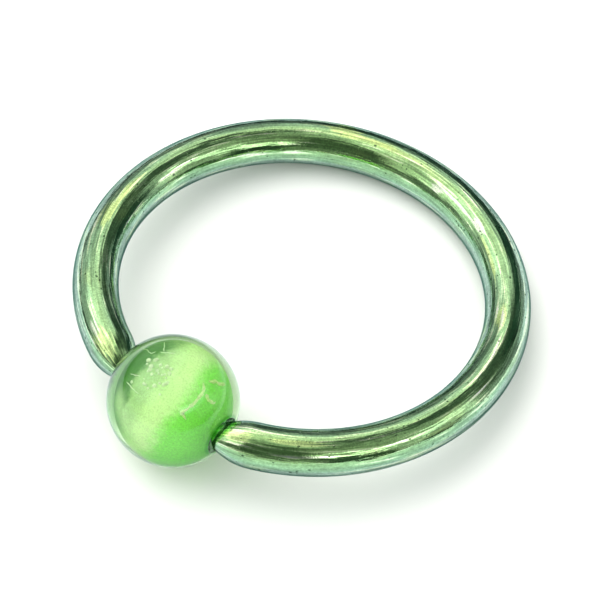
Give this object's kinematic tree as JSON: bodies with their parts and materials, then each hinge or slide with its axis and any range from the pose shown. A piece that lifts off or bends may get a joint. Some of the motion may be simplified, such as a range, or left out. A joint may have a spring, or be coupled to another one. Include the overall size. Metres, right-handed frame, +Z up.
{
  "type": "captive bead ring",
  "caption": "Open ring of round wire for a body piercing, with narrowed ends sprung into hollows on either side of a glass ball with a cat's-eye core.",
  "frame": {"origin": "on the surface that the ring lies on, below the middle of its outline", "axes": "+Z up from that surface; -Y towards the ball and +Y towards the wire opposite it; X along the line through the two wire tips"},
  "size_m": [0.0158, 0.017, 0.0045],
  "materials": {
    "anodised_wire": "polished titanium, anodised green",
    "clear_glass": "polished clear glass with a faint green tint",
    "cats_eye_glass": "green fibre-optic glass with a light band across its fibres"
  },
  "bodies": {
    "ring": {"wire_ring": "anodised_wire"},
    "bead": {"bead": "clear_glass", "core": "cats_eye_glass"}
  },
  "joints": [
    {"name": "bead_turn", "type": "hinge", "parent": "ring", "child": "bead", "pos_m": [0, -0.00621, 0.00225], "axis": [1, 0, 0], "continuous": true}
  ]
}
